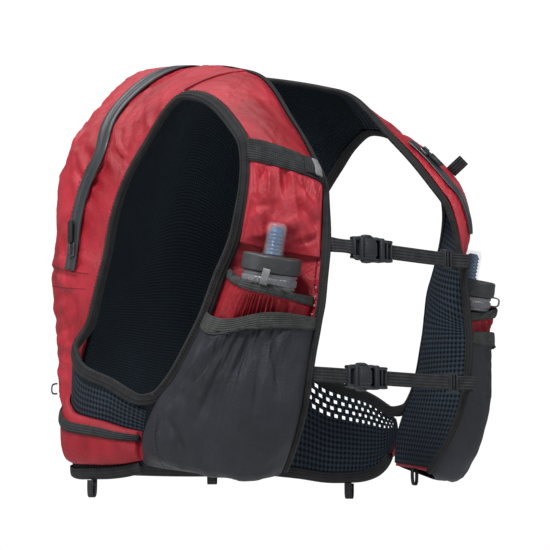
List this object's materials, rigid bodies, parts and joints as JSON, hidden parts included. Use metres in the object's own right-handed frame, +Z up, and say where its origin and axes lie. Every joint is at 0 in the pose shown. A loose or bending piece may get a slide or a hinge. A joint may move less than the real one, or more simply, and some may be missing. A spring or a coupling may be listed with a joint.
{
  "type": "running hydration vest",
  "caption": "Close-fitting running vest with a zipped back pack, soft flasks in the chest pockets, open armholes, mesh side wings and sternum straps.",
  "frame": {"origin": "between the two shoulder straps, at the height where the vest sits on the shoulders", "axes": "+Z up, -Y is the way the wearer faces, -X is the wearer's right"},
  "size_m": [0.3696, 0.3705, 0.4163],
  "materials": {
    "binding_tape": "woven tape, matte",
    "cap_plastic": "moulded, satin",
    "stretch_charcoal": "stretch woven, matte",
    "collar_plastic": "moulded, gloss",
    "elastic_band": "ribbed elastic, matte",
    "flask_film": "soft clear film",
    "lining_mesh": "open mesh, matte",
    "zip_metal": "satin",
    "buckle_plastic": "moulded, satin",
    "shell_red": "ripstop weave, matte",
    "reflective_tape": "reflective weave",
    "sheath_clear": "clear, gloss",
    "valve_blue": "moulded, satin",
    "webbing": "woven webbing, matte",
    "coated_zip": "coated tape, satin"
  },
  "bodies": {
    "root": {"back_panel": "lining_mesh", "pack_shell": "shell_red", "main_zip": "coated_zip", "main_zip_slider": "zip_metal", "main_zip_pull": "coated_zip", "front_panel_right": "shell_red", "front_panel_left": "shell_red", "chest_pocket_right": "shell_red", "chest_pocket_left": "shell_red", "flask_pocket_right": "shell_red", "flask_pocket_left": "shell_red", "lower_pocket_right": "stretch_charcoal", "lower_pocket_left": "stretch_charcoal", "chest_band_right": "elastic_band", "flask_band_right": "elastic_band", "flask_band_left": "elastic_band", "lower_band_right": "elastic_band", "lower_band_left": "elastic_band", "side_wing_right": "lining_mesh", "wing_pocket_right": "shell_red", "wing_band_right": "elastic_band", "hip_loop_right": "webbing", "side_wing_left": "lining_mesh", "wing_pocket_left": "shell_red", "wing_band_left": "elastic_band", "hip_loop_left": "webbing", "armhole_binding_right": "binding_tape", "armhole_binding_left": "binding_tape", "front_edge_tape": "binding_tape", "hem_tape": "binding_tape", "flask_body_right": "flask_film", "flask_body_left": "flask_film", "flask_collar_right": "collar_plastic", "flask_collar_left": "collar_plastic", "flask_cap_right": "cap_plastic", "flask_cap_left": "cap_plastic", "valve_sheath_right": "sheath_clear", "valve_sheath_left": "sheath_clear", "valve_core_right": "valve_blue", "valve_core_left": "valve_blue", "upper_strap_right": "webbing", "upper_strap_left": "webbing", "upper_buckle_socket": "buckle_plastic", "upper_buckle_plug": "buckle_plastic", "upper_slider": "buckle_plastic", "lower_strap_right": "webbing", "lower_strap_left": "webbing", "lower_buckle_socket": "buckle_plastic", "lower_buckle_plug": "buckle_plastic", "lower_slider": "buckle_plastic", "front_loop_right": "webbing", "front_loop_left": "webbing", "flask_band_loop_right": "reflective_tape", "pack_side_loop_right": "webbing", "shoulder_tab_left": "webbing", "flask_finger_loop_left": "collar_plastic", "chest_zip_left": "coated_zip", "chest_zip_left_slider": "zip_metal", "chest_zip_left_pull": "coated_zip", "chest_band_tab_right": "reflective_tape"}
  },
  "joints": []
}
